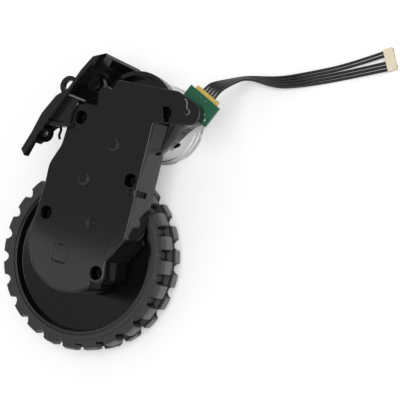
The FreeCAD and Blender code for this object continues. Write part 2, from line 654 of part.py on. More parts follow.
loft(housing, ("Sizes.skirt_foot + 1.0", skirt + skirt_end), ("Sizes.skirt_top", [
    V(side_x + 0.1, 41.2, 0), V(side_x + 2.2, 42.2, 0), V(side_x + 2.9, 44.4, 0), V(side_x + 3.2, 46.8, 0),
    V(side_x + 3.6, 49.0, 0), V(side_x + 6.0, 51.6, 0), V(side_x + 8.6, 53.0, 0), V(side_x + 0.1, 53.0, 0)]))
pad(housing, "Sizes.skirt_top", "Sizes.face_height - Sizes.lobe_lid - Sizes.skirt_top", lines([
    V(side_x + 3.8, 51.7, 0), V(side_x + 8.6, 53.0, 0), V(side_x + 8.6, 54.2, 0), V(side_x + 3.8, 54.2, 0)]))
shelf_foot = "Sizes.motor_height - 0.4"
pad(housing, shelf_foot, BOARD_FOOT + " - Sizes.motor_height + 0.3", overlap(case_outline(0.6, True), lines([
    V(27.6, 50, 0), V(45, 50, 0), V(45, 70, 0), V(27.6, 70, 0)])))
pad(housing, shelf_foot, "Sizes.face_height - Sizes.lobe_lid - Sizes.motor_height + 0.4",
    overlap(case_outline(0.6, True), lines([V(27.6, 50, 0), V(42, 50, 0), V(42, 52.3, 0), V(27.6, 59.5, 0)])))
pad(housing, "Sizes.spring_seat_top", "Sizes.front_plate - Sizes.plate_wall - 0.3 - Sizes.spring_seat_top",
    circle(AXIS_PIVOT, size["pivot_tube_radius"]))
pad(housing, "Sizes.pivot_tube_foot", "Sizes.spring_seat_top - Sizes.pivot_tube_foot + 0.5",
    circle(AXIS_PIVOT, size["spring_seat_radius"]))
pad(housing, "Sizes.back_height", "Sizes.seam_height - Sizes.back_height",
    strip([AXIS_PIVOT, (-1.4, 52.0)], 5.2))
pocket(housing, "1", "Sizes.motor_height - 1", circle(AXIS_MOTOR, skirt_inner))
post_radius = size["gear_post_radius"]
pad(housing, "Sizes.nose_height + 0.5", DRIVING_FOOT + " - Sizes.nose_height - 0.6",
    circle(AXIS_THIRD, post_radius))
pad(housing, "Sizes.back_height + 0.5",
    SECOND_FOOT + " - Sizes.gear_width - 2 * Sizes.layer_gap - Sizes.back_height - 0.5",
    circle(AXIS_SECOND, post_radius))
for centre in (AXIS_THIRD, AXIS_SECOND):
    pocket(housing, "Sizes.nose_height + Sizes.floor_wall", "40", circle(centre, size["gear_pin_radius"]))
pocket(housing, "1", "40", circle(AXIS_PIVOT, size["pivot_pin_radius"] + size["running_clearance"]))
pocket(housing, "1", "20", circle((0, 0), size["bush_radius"]))
pocket(housing, "Sizes.motor_height - 1", "3", circle(AXIS_MOTOR, size["motor_boss_radius"] + 0.3))
for place_of_screw in SCREW_PLACES:
    pocket(housing, "Sizes.back_height", "20", circle(place_of_screw, size["screw_bore"]))
for place_of_screw in MOTOR_SCREWS:
    pocket(housing, "Sizes.motor_height - 1", "4", circle(place_of_screw, size["motor_screw_radius"] + 0.2))


def turned_solid(corners, centre, height):
    """A solid turned about a vertical axis, from (radius, height) corners."""
    points = [V(x, 0, z) for x, z in corners]
    profile = Part.Face(Part.makePolygon(points + points[:1]))
    solid = profile.revolve(V(0, 0, 0), V(0, 0, 1), 360)
    solid.translate(V(centre[0], centre[1], height))
    return solid


def group(name, solids):
    """Like pieces that share a node, each one its own solid."""
    item = doc.addObject("Part::Feature", name)
    item.Shape = solids[0] if len(solids) == 1 else Part.makeCompound(solids)
    item.Label = name
    parts.append(item)
    return item


def screw(centre, seat, head_radius, head, radius, length):
    """A pan head screw with a cross in its head, pointing down."""
    body = turned_solid([(0, -length), (radius * 0.5, -length), (radius, -length + 1), (radius, 0),
                         (head_radius, 0), (head_radius, head * 0.6), (head_radius * 0.7, head), (0, head)],
                        centre, seat)
    for turn in (0, 90):
        slot = Part.makeBox(head_radius * 1.3, 0.5, head, V(-head_radius * 0.65, -0.25, head * 0.45))
        slot.rotate(V(0, 0, 0), V(0, 0, 1), turn + 30)
        slot.translate(V(centre[0], centre[1], seat))
        body = body.cut(slot)
    return body


screw_seat = size["face_height"] - size["counterbore_depth"]
group("housing_screws", [screw(centre, screw_seat, 2.2, 1.6, size["screw_bore"] - 0.05, 7.6)
                         for centre in SCREW_PLACES])
group("motor_screws", [screw(centre, size["motor_height"] + size["motor_wall"], 2.0, 1.2,
                             size["motor_screw_radius"], 3.2)
                       for centre in MOTOR_SCREWS])
wheel_screw = screw((0, 0), 0, size["wheel_screw_head"], 1.4, size["wheel_screw_radius"], 6.5)
wheel_screw.rotate(V(0, 0, 0), V(1, 0, 0), 180)
wheel_screw.translate(V(0, 0, 3.4))
group("wheel_screw", [wheel_screw])


def gear_pin(centre, foot):
    """A fixed steel pin, its ends in the housing and the cover."""
    top = size["face_height"] - size["lid_wall"]
    return Part.makeCylinder(size["gear_pin_radius"], top - foot, V(centre[0], centre[1], foot))


group("gear_pins", [gear_pin(AXIS_THIRD, size["nose_height"] + size["floor_wall"]),
                    gear_pin(AXIS_SECOND, size["nose_height"] + size["floor_wall"] + 2),
                    gear_pin(AXIS_FIRST, size["motor_height"] + size["motor_wall"])])

# Motor
can_radius = size["motor_radius"]
rounding = size["can_round"]
front = size["motor_height"]
shoulder = [(can_radius - rounding + rounding * math.sin(math.radians(turn)),
             front - rounding + rounding * math.cos(math.radians(turn))) for turn in (90, 67, 45, 22, 0)]
can = new_body("motor_can")
boss_radius = size["motor_boss_radius"]
bell_top = size["bell_height"]
shaft_bore = size["motor_shaft_radius"] + size["running_clearance"]
revolve(can, [(shaft_bore, bell_top), (can_radius - 0.3, bell_top), (can_radius, bell_top + 0.4)] + shoulder
        + [(boss_radius, front), (boss_radius, front + 1.0), (shaft_bore, front + 1.0)])
place(can, chain(4, "cos"), chain(4, "sin"))
window = [polar(can_radius - 0.2, -42), polar(can_radius + 0.3, -33), polar(can_radius - 0.2, -24)]
pocket(can, "13.4", "1.4", strip(window, 1.4))
for side in (90, -90):
    pocket(can, "Sizes.motor_height - 3.4", "8", circle(
        polar(size["motor_screw_circle"], size["angle_motor"] + side), size["motor_screw_radius"] + 0.02))

bell = new_body("motor_end_bell")
bell_radius = can_radius + size["bell_step"]
flange = size["flange_height"]
revolve(bell, [(shaft_bore, 0.8), (9.5, 0.8), (9.5, 0), (bell_radius + 0.15, 0), (bell_radius + 0.15, flange),
               (bell_radius, flange), (bell_radius, 2.7), (can_radius, 2.8), (can_radius, 3.1),
               (bell_radius, 3.2), (bell_radius, 5.3), (can_radius - 0.3, 5.4), (can_radius - 0.3, bell_top),
               (shaft_bore, bell_top)])
for start, end in ((-60, -44), (-8, -2), (120, 136)):
    pocket(bell, "0", "Sizes.flange_height", sector((0, 0), bell_radius - 0.6, bell_radius + 1, start, end))
place(bell, chain(4, "cos"), chain(4, "sin"))

# Board, connector, wires and plug
board_place = (size["board_x"], size["board_y"])
board_top = size["face_height"] - size["board_drop"]
cable_top = board_top - size["cable_drop"]


def turned_box(centre, angle, left, right, near, far):
    """A rectangle turned about a point, with its four sides measured from that point."""
    corners = [(left, near), (right, near), (right, far), (left, far)]
    turn = math.radians(angle)
    return lines([V(centre[0] + x * math.cos(turn) - y * math.sin(turn),
                    centre[1] + x * math.sin(turn) + y * math.cos(turn), 0) for x, y in corners])


half_length = size["board_length"] / 2
half_width = size["board_width"] / 2
board = new_body("circuit_board")
pad(board, BOARD_FOOT, "Sizes.board_thickness",
    turned_box(board_place, size["board_angle"], -half_length, half_length, -half_width, half_width))
socket = new_body("board_connector")
half_socket = size["socket_length"] / 2
socket_shift = -0.6
reach = half_width + size["socket_reach"]
pad(socket, BOARD_FOOT + " - Sizes.socket_height", "Sizes.socket_height",
    turned_box(board_place, size["board_angle"], socket_shift - half_socket, socket_shift + half_socket,
               reach - size["socket_depth"], reach))
solder = []
for along, across in ((3.6, -1.1), (5.1, -2.3), (-1.0, 2.9), (1.5, 2.9)):
    turn = math.radians(size["board_angle"])
    spot = (board_place[0] + along * math.cos(turn) - across * math.sin(turn),
            board_place[1] + along * math.sin(turn) + across * math.cos(turn))
    solder.append(turned_solid([(0, 0), (0.55, 0), (0.4, 0.12), (0, 0.18)], spot, board_top))
group("solder_joints", solder)

plug_place = (size["plug_x"], size["plug_y"])
plug = new_body("cable_plug")
half_plug = size["plug_length"] / 2
pad(plug, "0", "Sizes.plug_height",
    turned_box(plug_place, size["plug_angle"], 0, size["plug_depth"], -half_plug, half_plug))
places = [place_number * size["plug_pitch"] for place_number in (2.5, 1.5, -0.5, -1.5, -2.5)]
for across in [number * size["plug_pitch"] for number in (2.5, 1.5, 0.5, -0.5, -1.5, -2.5)]:
    pocket(plug, "0.8", "1.0", turned_box(plug_place, size["plug_angle"], size["plug_depth"] - 2,
                                          size["plug_depth"] + 1, across - 0.4, across + 0.4))
terminals = []
for across in places:
    blade = Part.makeBox(1.4, 0.5, 0.5, V(size["plug_depth"] - 2, across - 0.25, 1.05))
    blade.rotate(V(0, 0, 0), V(0, 0, 1), size["plug_angle"])
    blade.translate(V(plug_place[0], plug_place[1], 0))
    terminals.append(blade)
group("plug_terminals", terminals)

# The middle of the ribbon of wires, and the way across the ribbon at each point.
CABLE = [
    ((38.728, 65.639, cable_top), (0.894, -0.447, 0.0), 1.25),
    ((40.3, 68.9, cable_top - 0.2), (0.894, -0.447, 0.0), 1.20),
    ((43.2, 72.7, 17.2), (0.93, -0.20, 0.22), 1.12),
    ((44.8, 74.4, 10.0), (0.94, 0.10, 0.28), 1.10),
    ((47.6, 75.4, 3.6), (0.66, -0.56, 0.50), 1.12),
    ((54.2, 76.4, 0.55), (0.25, -0.97, 0.0), 1.14),
    ((65.0, 79.7, 0.52), (0.34, -0.94, 0.0), 1.10),
    ((77.0, 84.2, 0.52), (0.38, -0.92, 0.0), 1.16),
]


def wire_points(number):
    """The route of one wire of the ribbon, from the board to the plug."""
    points = []
    for middle_point, across, spacing in CABLE:
        step = V(*across).normalize() * (spacing * (number - 2))
        point = V(*middle_point) + step
        points.append(V(point.x, point.y, max(point.z, size["wire_diameter"] / 2 + 0.02)))
    turn = math.radians(size["plug_angle"])
    end = V(plug_place[0] - places[number] * math.sin(turn), plug_place[1] + places[number] * math.cos(turn),
            size["plug_height"] / 2)
    return points + [end]


def wire(name, points):
    """A round wire along straight runs joined by tangent arcs."""
    runs = [(second - first).Length for first, second in zip(points, points[1:])]
    radius = size["wire_diameter"] / 2
    here = points[0]
    pieces = []
    bends = []
    length = 0
    for index in range(1, len(points)):
        back = (points[index - 1] - points[index]).normalize()
        section = Part.Face(Part.Wire([Part.makeCircle(radius, here, back)]))
        if index == len(points) - 1:
            pieces.append(section.extrude(points[index] - here))
            length += (points[index] - here).Length
            break
        ahead = (points[index + 1] - points[index]).normalize()
        turn = math.pi - back.getAngle(ahead)
        reach = 0.45 * min(runs[index - 1], runs[index])
        bend = reach / math.tan(turn / 2)
        bends.append(bend)
        start = points[index] + back * reach
        pieces.append(section.extrude(start - here))
        centre = points[index] + (back + ahead).normalize() * (bend / math.cos(turn / 2))
        section = Part.Face(Part.Wire([Part.makeCircle(radius, start, back)]))
        pieces.append(section.revolve(centre, ahead.cross(back), math.degrees(turn)))
        length += (start - here).Length + bend * turn
        here = points[index] + ahead * reach
    tube = pieces[0].multiFuse(pieces[1:])
    share = tube.Volume / (math.pi * radius ** 2 * length)
    print("%s length %.1f, volume share %.4f, radii %s" % (
        name, length, share, " ".join("%.1f" % bend for bend in bends)))
    group(name, tube.Solids)


for number in range(5):
    wire("wire_%d" % (number + 1), wire_points(number))

# Suspension
bracket = new_body("suspension_bracket")
rib = [V(*point, 0) for point in (
    (-23.0, 32.2), (-20.6, 38.3), (-18.3, 46.0), (-14.2, 53.1), (-10.2, 56.4), (-9.0, 58.8), (-6.8, 63.6),
    (-3.4, 69.0), (-1.4, 68.9), (-6.0, 62.0), (-9.4, 55.2), (-15.4, 43.6), (-18.6, 36.6), (-21.2, 30.2))]
pad(bracket, "Sizes.rib_foot", "Sizes.rib_top - Sizes.rib_foot", lines(rib))
pad(bracket, "Sizes.front_plate - Sizes.plate_wall", "Sizes.plate_wall", lines([V(*point, 0) for point in (
    (-8.4, 55.6), (-3.0, 56.0), (-1.2, 58.0), (-1.0, 61.0), (-2.2, 63.2), (-6.2, 63.6))]))
ear = (size["ear_x"], size["ear_y"])
ear_foot = "Sizes.ear_top - Sizes.ear_wall"
pad(bracket, ear_foot, "Sizes.ear_wall", circle(ear, size["ear_radius"]))
pad(bracket, ear_foot, "Sizes.ear_wall", lines([
    V(-15.4, 55.5, 0), V(-13.0, 53.5, 0), V(-8.4, 57.6, 0), V(-8.0, 61.6, 0), V(-12.0, 61.1, 0)]))
knob = (size["knob_x"], size["knob_y"])
pad(bracket, "Sizes.rib_foot - 3.5", "5", circle(knob, size["knob_radius"]))
over_face = "Sizes.face_height + Sizes.panel_gap"
pad(bracket, over_face, "1.2", lines([
    V(-16.6, 44.4, 0), V(-8.2, 45.0, 0), V(-7.2, 52.4, 0), V(-5.4, 53.6, 0), V(-10.8, 55.0, 0)]))
pad(bracket, over_face, "2.4", strip([(-17.0, 43.2), (-10.8, 43.6), (-6.8, 44.6)], 1.5))
pad(bracket, over_face, "2.6", strip([(-11.0, 54.9), (-4.0, 53.6)], 0.9))
pad(bracket, "Sizes.face_height - 2.7", "Sizes.panel_gap + 3.4",
    strip([(-12.6, 43.8), (-13.6, 41.4), (-13.2, 39.2)], 1.0))
outer_wall = [V(*point, 0) for point in (
    (-10.2, 56.4), (-9.0, 58.8), (-6.8, 63.6), (-3.4, 69.0), (1.6, 70.9), (1.9, 69.8), (-2.7, 68.1),
    (-5.85, 63.1), (-7.95, 58.4), (-9.2, 56.0))]
pad(bracket, "Sizes.rear_plate", "Sizes.rib_top - Sizes.rear_plate", lines(outer_wall))
pad(bracket, "Sizes.rib_top - 5", "5", lines([
    V(-3.4, 67.6, 0), V(-1.4, 64.2, 0), V(1.0, 66.9, 0), V(1.6, 69.8, 0)]))
pad(bracket, "Sizes.rear_plate", "Sizes.plate_wall", circle(AXIS_PIVOT, size["pivot_plate_radius"]))
pad(bracket, "Sizes.rear_plate", "Sizes.plate_wall", lines([
    V(-8.2, 60.2, 0), V(0.9, 58.6, 0), V(1.9, 68.8, 0), V(1.6, 70.6, 0), V(-6.2, 68.2, 0)]))
pocket(bracket, "1", "40", circle(AXIS_PIVOT, size["pivot_pin_radius"]))
pocket(bracket, "20", "20", circle(ear, size["ear_bore"]))
pocket(bracket, "Sizes.rib_foot - 1.2", "2.7", circle(knob, size["knob_bore"]))

pin_foot = size["rear_plate"] - 1.2
pin_top = size["front_plate"] + 1.4
pin_length = pin_top - pin_foot
groove = pin_length - 1.1
radius = size["pivot_pin_radius"]
pin = new_body("pivot_pin")
neck = radius - 0.3
revolve(pin, [(0, 0), (2.3, 0), (2.6, 0.3), (2.6, 1.2), (radius, 1.2), (radius, groove), (neck, groove),
              (neck, groove + 0.5), (radius, groove + 0.5), (radius, pin_length - 0.3), (neck, pin_length),
              (0, pin_length)])
place(pin, "Sizes.pivot_x", "Sizes.pivot_y", "Sizes.rear_plate - 1.2")
clip = new_body("pin_clip")
pad(clip, "Sizes.front_plate + 0.3", "0.5", sector((0, 0), neck, 2.35, 40, 320))
place(clip, "Sizes.pivot_x", "Sizes.pivot_y")

coil_radius = size["spring_seat_radius"] + size["spring_wire"] / 2 + 0.25
coil_pitch = size["spring_wire"] + 0.35
coil_foot = size["pivot_tube_foot"] + 0.6
helix = Part.makeHelix(coil_pitch, coil_pitch * size["spring_turns"], coil_radius)
spring_half = size["spring_wire"] / 2
corners = []
for turn in range(0, 360, 60):
    across, above = polar(spring_half, turn)
    corners.append(V(coil_radius + across, 0, above))
coil = Part.Wire(helix).makePipeShell([Part.makePolygon(corners + corners[:1])], True, True)
leg_section = Part.Face(Part.makePolygon(corners + corners[:1]))
spring = coil.fuse(leg_section.extrude(V(0, -size["spring_leg"], 0)))
spring.rotate(V(0, 0, 0), V(0, 0, 1), size["spring_leg_angle"])
spring.translate(V(AXIS_PIVOT[0], AXIS_PIVOT[1], coil_foot))
group("suspension_spring", [spring])

doc.recompute()
for item in doc.Objects:
    if "Invalid" in item.State or "Error" in item.State:
        raise RuntimeError("%s failed: %s" % (item.Name, item.State))
for item in parts:
    if item.Shape.isNull() or not item.Shape.isValid():
        raise RuntimeError("%s has no valid shape" % item.Label)
    box = item.Shape.optimalBoundingBox(False)
    print("%-20s solids %d volume %9.1f  x %.1f %.1f  y %.1f %.1f  z %.1f %.1f" % (
        item.Label, len(item.Shape.Solids), item.Shape.Volume, box.XMin, box.XMax, box.YMin, box.YMax,
        box.ZMin, box.ZMax))
os.makedirs("parts", exist_ok=True)
for item in parts:
    item.Shape.exportStep("parts/" + item.Label + ".step")
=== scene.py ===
import math

import bmesh
import bpy
from mathutils import Matrix, Vector


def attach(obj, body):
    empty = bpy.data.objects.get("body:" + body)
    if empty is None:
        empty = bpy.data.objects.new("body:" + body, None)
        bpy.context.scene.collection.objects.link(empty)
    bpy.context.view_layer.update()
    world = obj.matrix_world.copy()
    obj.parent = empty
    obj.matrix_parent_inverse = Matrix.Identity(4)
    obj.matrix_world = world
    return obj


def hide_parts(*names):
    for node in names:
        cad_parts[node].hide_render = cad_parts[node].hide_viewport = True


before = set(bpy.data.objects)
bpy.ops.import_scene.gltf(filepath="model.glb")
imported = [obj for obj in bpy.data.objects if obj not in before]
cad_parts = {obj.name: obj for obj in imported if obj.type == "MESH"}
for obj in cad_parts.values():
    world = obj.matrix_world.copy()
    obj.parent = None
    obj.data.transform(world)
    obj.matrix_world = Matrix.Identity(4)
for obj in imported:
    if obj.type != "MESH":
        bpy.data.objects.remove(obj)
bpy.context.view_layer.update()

# Camera and studio. A plain pale table with a soft top light, a long strip of light that the glossy
# plastic mirrors, and a bright surround, seen from the photograph's own place above the wheel.
camera_data = bpy.data.cameras.new("camera")
camera_data.sensor_width = 36
camera_data.lens = 92.7
camera = bpy.data.objects.new("camera", camera_data)
bpy.context.collection.objects.link(camera)
across = Vector((0.8872, 0.2369, -0.3958))
upward = Vector((-0.2118, 0.9715, 0.1065))
towards = Vector((-0.4098, 0.0107, -0.9121))
stand = Vector((0.18603, 0.02569, 0.33797))
camera.matrix_world = Matrix((
    (across.x, upward.x, -towards.x, stand.x),
    (across.y, upward.y, -towards.y, stand.y),
    (across.z, upward.z, -towards.z, stand.z),
    (0, 0, 0, 1)))
bpy.context.scene.camera = camera
bpy.context.scene.view_settings.view_transform = "Standard"


def area_light(name, place, target, width, depth, power):
    """A soft panel that shines from a place towards a target."""
    data = bpy.data.lights.new(name, "AREA")
    data.shape = "RECTANGLE"
    data.size = width
    data.size_y = depth
    data.energy = power
    lamp = bpy.data.objects.new(name, data)
    lamp.location = place
    lamp.rotation_euler = (Vector(target) - Vector(place)).to_track_quat("-Z", "Y").to_euler()
    bpy.context.collection.objects.link(lamp)


area_light("top_panel", place=(0.28, 0.10, 0.90), target=(0.02, 0.03, 0.0), width=0.6, depth=0.6, power=4.5)
area_light("window_strip", place=(-0.43, -0.1035, 0.75), target=(-0.43, -0.1035, 0.0), width=0.90, depth=0.111,
           power=0.25)

HORIZON_STRENGTH = 1.1
OVERHEAD_STRENGTH = 0.36
world = bpy.data.worlds.new("surround")
bpy.context.scene.world = world
world.use_nodes = True
nodes = world.node_tree.nodes
links = world.node_tree.links
background = nodes["Background"]
background.inputs["Color"].default_value = (1, 1, 1, 1)
place = nodes.new("ShaderNodeTexCoord")
axes = nodes.new("ShaderNodeSeparateXYZ")
links.new(place.outputs["Generated"], axes.inputs["Vector"])
sky = nodes.new("ShaderNodeMapRange")
sky.interpolation_type = "SMOOTHSTEP"
sky.inputs["From Min"].default_value = 0.0
sky.inputs["From Max"].default_value = 0.75
sky.inputs["To Min"].default_value = HORIZON_STRENGTH
sky.inputs["To Max"].default_value = OVERHEAD_STRENGTH
links.new(axes.outputs["Z"], sky.inputs["Value"])
light_path = nodes.new("ShaderNodeLightPath")
strength = nodes.new("ShaderNodeMix")
strength.inputs["B"].default_value = 1.0
links.new(light_path.outputs["Is Camera Ray"], strength.inputs["Factor"])
links.new(sky.outputs["Result"], strength.inputs["A"])
links.new(strength.outputs["Result"], background.inputs["Strength"])

TABLE_GLOW = 0.25
mesh = bpy.data.meshes.new("table")
form = bmesh.new()
bmesh.ops.create_grid(form, x_segments=1, y_segments=1, size=3)
form.to_mesh(mesh)
form.free()
table = bpy.data.objects.new("table", mesh)
bpy.context.collection.objects.link(table)
white = bpy.data.materials.new("white_table")
white.use_nodes = True
nodes = white.node_tree.nodes
links = white.node_tree.links
shader = nodes["Principled BSDF"]
shader.inputs["Base Color"].default_value = (0.86, 0.86, 0.86, 1)
shader.inputs["Roughness"].default_value = 0.9
shader.inputs["Specular IOR Level"].default_value = 0.1
shader.inputs["Emission Color"].default_value = (1, 1, 1, 1)
light_path = nodes.new("ShaderNodeLightPath")
glow = nodes.new("ShaderNodeMath")
glow.operation = "MULTIPLY"
glow.inputs[1].default_value = TABLE_GLOW
links.new(light_path.outputs["Is Camera Ray"], glow.inputs[0])
links.new(glow.outputs["Value"], shader.inputs["Emission Strength"])
mesh.materials.append(white)


# Wires and plug. Five thin black stranded wires with soft insulation, side by side as a loose ribbon from
# the board's connector to an ivory nylon plug. They bend down over the board's edge and lie on the table.
def grain_group():
    """Fine moulded grain with a faint wander of tone and gloss."""
    group = bpy.data.node_groups.new("moulded_grain", "ShaderNodeTree")
    for name, kind, value in (("Colour", "NodeSocketColor", (0.03, 0.03, 0.03, 1)),
                              ("Scale", "NodeSocketFloat", 1500.0), ("Depth", "NodeSocketFloat", 0.1),
                              ("Gloss", "NodeSocketFloat", 0.4), ("Wander", "NodeSocketFloat", 0.15)):
        socket = group.interface.new_socket(name, in_out="INPUT", socket_type=kind)
        socket.default_value = value
    for name, kind in (("Colour", "NodeSocketColor"), ("Roughness", "NodeSocketFloat"),
                       ("Normal", "NodeSocketVector")):
        group.interface.new_socket(name, in_out="OUTPUT", socket_type=kind)
    nodes = group.nodes
    links = group.links
    given = nodes.new("NodeGroupInput")
    result = nodes.new("NodeGroupOutput")
    place = nodes.new("ShaderNodeTexCoord")
    fine = nodes.new("ShaderNodeTexNoise")
    fine.inputs["Detail"].default_value = 3
    links.new(place.outputs["Object"], fine.inputs["Vector"])
    links.new(given.outputs["Scale"], fine.inputs["Scale"])
    bump = nodes.new("ShaderNodeBump")
    bump.inputs["Distance"].default_value = 0.0001
    links.new(given.outputs["Depth"], bump.inputs["Strength"])
    links.new(fine.outputs["Fac"], bump.inputs["Height"])
    links.new(bump.outputs["Normal"], result.inputs["Normal"])
    broad = nodes.new("ShaderNodeTexNoise")
    broad.inputs["Scale"].default_value = 60
    broad.inputs["Detail"].default_value = 4
    links.new(place.outputs["Object"], broad.inputs["Vector"])
    centred = nodes.new("ShaderNodeMath")
    centred.operation = "SUBTRACT"
    centred.inputs[1].default_value = 0.5
    links.new(broad.outputs["Fac"], centred.inputs[0])
    swing = nodes.new("ShaderNodeMath")
    swing.operation = "MULTIPLY_ADD"
    swing.inputs[2].default_value = 1.0
    links.new(centred.outputs["Value"], swing.inputs[0])
    links.new(given.outputs["Wander"], swing.inputs[1])
    tone = nodes.new("ShaderNodeVectorMath")
    tone.operation = "SCALE"
    links.new(given.outputs["Colour"], tone.inputs[0])
    links.new(swing.outputs["Value"], tone.inputs["Scale"])
    links.new(tone.outputs["Vector"], result.inputs["Colour"])
    rough = nodes.new("ShaderNodeMath")
    rough.operation = "MULTIPLY"
    links.new(given.outputs["Gloss"], rough.inputs[0])
    links.new(swing.outputs["Value"], rough.inputs[1])
    links.new(rough.outputs["Value"], result.inputs["Roughness"])
    return group


moulded_grain = grain_group()


def moulded(name, colour, roughness, scale, depth, wander, metallic=0.0, specular=0.5):
    """A material with the moulded grain in it."""
    material = bpy.data.materials.new(name)
    material.use_nodes = True
    nodes = material.node_tree.nodes
    links = material.node_tree.links
    shader = nodes["Principled BSDF"]
    shader.inputs["Metallic"].default_value = metallic
    shader.inputs["Specular IOR Level"].default_value = specular
    grain = nodes.new("ShaderNodeGroup")
    grain.node_tree = moulded_grain
    grain.inputs["Colour"].default_value = (*colour, 1)
    grain.inputs["Scale"].default_value = scale
    grain.inputs["Depth"].default_value = depth
    grain.inputs["Gloss"].default_value = roughness
    grain.inputs["Wander"].default_value = wander
    links.new(grain.outputs["Colour"], shader.inputs["Base Color"])
    links.new(grain.outputs["Roughness"], shader.inputs["Roughness"])
    links.new(grain.outputs["Normal"], shader.inputs["Normal"])
    return material


def dress(node, material):
    """Gives a CAD node its material."""
    node_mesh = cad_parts[node].data
    node_mesh.materials.clear()
    node_mesh.materials.append(material)


def merged(node):
    """A bmesh copy of a CAD piece, joined up and with its flat faces whole."""
    form = bmesh.new()
    form.from_mesh(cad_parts[node].data)
    bmesh.ops.remove_doubles(form, verts=form.verts, dist=2e-6)
    bmesh.ops.dissolve_limit(form, angle_limit=math.radians(1), verts=form.verts, edges=form.edges,
                             use_dissolve_boundaries=False, delimit={"NORMAL"})
    return form


def softened(form, node, body, material, width, clamped=False):
    """Stands the shaped copy in for its CAD piece, with its sharp edges rounded a little."""
    soft_mesh = bpy.data.meshes.new(node + "_soft")
    form.to_mesh(soft_mesh)
    form.free()
    if "custom_normal" in soft_mesh.attributes:
        soft_mesh.attributes.remove(soft_mesh.attributes["custom_normal"])
    soft_mesh.shade_smooth()
    soft_mesh.materials.clear()
    soft_mesh.materials.append(material)
    piece = bpy.data.objects.new(node + "_soft", soft_mesh)
    bpy.context.collection.objects.link(piece)
    rounding = piece.modifiers.new("rounded_edges", "BEVEL")
    rounding.width = width
    rounding.segments = 2
    rounding.limit_method = "ANGLE"
    rounding.angle_limit = math.radians(35)
    rounding.harden_normals = True
    rounding.use_clamp_overlap = clamped
    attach(piece, body)
    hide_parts(node)
    return piece


def round_line(name, radius, steps, material):
    """An empty curve with a round section, for a wire or a thin raised line."""
    line = bpy.data.curves.new(name, "CURVE")
    line.dimensions = "3D"
    line.bevel_depth = radius
    line.bevel_resolution = steps
    line.use_fill_caps = True
    line.materials.append(material)
    return line


def strand(line, kind, points):
    """Adds one spline to a curve, over points in metres."""
    spline = line.splines.new(kind)
    spline.points.add(len(points) - 1)
    for point, (x, y, z) in zip(spline.points, points):
        point.co = (x, y, z, 1)
    if kind == "NURBS":
        spline.order_u = 3
        spline.use_endpoint_u = True
    return spline


wire_insulation = moulded("wire_insulation", (0.008, 0.008, 0.0086), roughness=0.38, scale=900, depth=0.1, wander=0.3)
plug_nylon = moulded("plug_nylon", (0.78, 0.69, 0.52), roughness=0.45, scale=1200, depth=0.1, wander=0.12)
bright_tin = moulded("bright_tin", (0.75, 0.75, 0.74), roughness=0.25, scale=2500, depth=0.05, wander=0.3,
                     metallic=1.0)
dress("plug_terminals", bright_tin)

# The plug is trimmed at its far end and at both sides. Points this near to an outer face belong to it.
PLUG_TURN = math.radians(26.5)
PLUG_END_TRIM = 0.0005
PLUG_SIDE_TRIM = 0.0004
NEAR_FACE = 0.0002
plug = merged("cable_plug")
along = Vector((math.cos(PLUG_TURN), math.sin(PLUG_TURN), 0))
beside = Vector((-math.sin(PLUG_TURN), math.cos(PLUG_TURN), 0))
far = max(vert.co @ along for vert in plug.verts)
ends = [min(vert.co @ beside for vert in plug.verts), max(vert.co @ beside for vert in plug.verts)]
for vert in plug.verts:
    if vert.co @ along > far - NEAR_FACE:
        vert.co -= along * PLUG_END_TRIM
    if vert.co @ beside < ends[0] + NEAR_FACE:
        vert.co += beside * PLUG_SIDE_TRIM
    elif vert.co @ beside > ends[1] - NEAR_FACE:
        vert.co -= beside * PLUG_SIDE_TRIM
plug = softened(plug, "cable_plug", "gear_case", plug_nylon, width=0.00020)

# The ribbon's middle in millimetres, the direction from wire to wire, and the distance between them.
RIBBON = [
    ((38.37, 64.93, 22.6), (0.894, -0.447, 0.0), 1.25),
    ((39.4, 67.0, 22.3), (0.894, -0.447, 0.0), 1.15),
    ((40.3, 68.8, 20.3), (0.92, -0.33, 0.10), 1.06),
    ((40.9, 71.0, 15.5), (0.94, -0.12, 0.25), 1.04),
    ((41.7, 73.6, 9.5), (0.94, 0.10, 0.28), 1.04),
    ((43.3, 75.2, 4.6), (0.90, -0.15, 0.40), 1.04),
    ((46.0, 75.8, 2.2), (0.72, -0.42, 0.55), 1.05),
    ((50.4, 75.9, 1.6), (0.50, -0.62, 0.45), 1.08),
    ((55.6, 76.6, 1.2), (0.33, -0.86, 0.32), 1.08),
    ((65.0, 79.7, 0.6), (0.34, -0.94, 0.0), 1.10),
    ((77.0, 84.2, 0.52), (0.38, -0.92, 0.0), 1.16),
]
WIRE_RADIUS = 0.0005
MIDDLE_WIRE = 2
WIRE_ON_TABLE = 0.52
PLUG_MOUTH = (89.4, 89.75, 1.3)
PLUG_PITCH = 1.25
PLUG_PLACES = (2.5, 1.5, -0.5, -1.5, -2.5)
for number, plug_place in enumerate(PLUG_PLACES):
    route = []
    for middle, side, spacing in RIBBON:
        point = Vector(middle) + Vector(side).normalized() * spacing * (number - MIDDLE_WIRE)
        route.append(Vector((point.x, point.y, max(point.z, WIRE_ON_TABLE))))
    reach = plug_place * PLUG_PITCH
    route.append(Vector((PLUG_MOUTH[0] - reach * math.sin(PLUG_TURN), PLUG_MOUTH[1] + reach * math.cos(PLUG_TURN),
                         PLUG_MOUTH[2])))
    name = "wire_%d" % (number + 1)
    line = round_line(name + "_line", WIRE_RADIUS, steps=3, material=wire_insulation)
    line.resolution_u = 8
    strand(line, "NURBS", [point / 1000 for point in route])
    wire = bpy.data.objects.new(name + "_insulation", line)
    bpy.context.collection.objects.link(wire)
    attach(wire, "gear_case")
    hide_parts(name)

